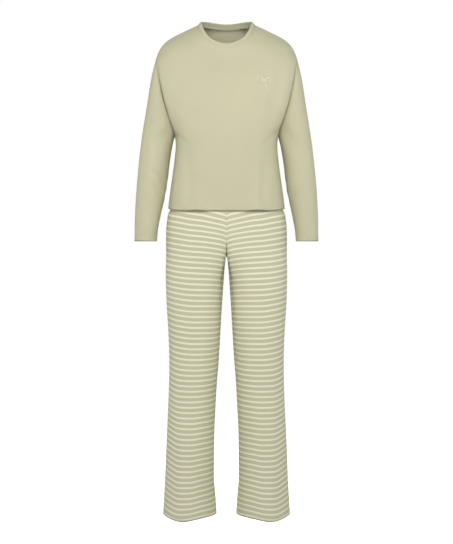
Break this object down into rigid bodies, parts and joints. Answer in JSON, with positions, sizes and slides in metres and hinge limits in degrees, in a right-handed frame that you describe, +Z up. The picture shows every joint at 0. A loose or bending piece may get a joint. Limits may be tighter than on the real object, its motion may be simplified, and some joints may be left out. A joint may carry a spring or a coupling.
{
  "type": "pyjama set",
  "caption": "Worn-form pyjama set: long-sleeved crew-neck jersey top with dropped shoulders over straight wide striped trousers.",
  "frame": {"origin": "midway between the two points where the shoulder seams meet the neckband, which is where the wearer's shoulders hold the top up", "axes": "+Z up, -Y towards the front of the garment, +X towards the wearer's left, which is the viewer's right"},
  "size_m": [0.5486, 0.2446, 1.4903],
  "materials": {
    "plain_jersey": "smooth matt cotton jersey, soft sage",
    "striped_jersey": "smooth matt cotton jersey, sage with narrow cream stripes across",
    "pale_tape": "narrow woven cotton tape"
  },
  "bodies": {
    "root": {"top_front": "plain_jersey", "top_back": "plain_jersey", "sleeve_right": "plain_jersey", "sleeve_left": "plain_jersey", "neckband": "plain_jersey", "neck_tape": "pale_tape", "trouser_front_right": "striped_jersey", "trouser_front_left": "striped_jersey", "trouser_back_right": "striped_jersey", "trouser_back_left": "striped_jersey", "waistband": "striped_jersey"}
  },
  "joints": []
}
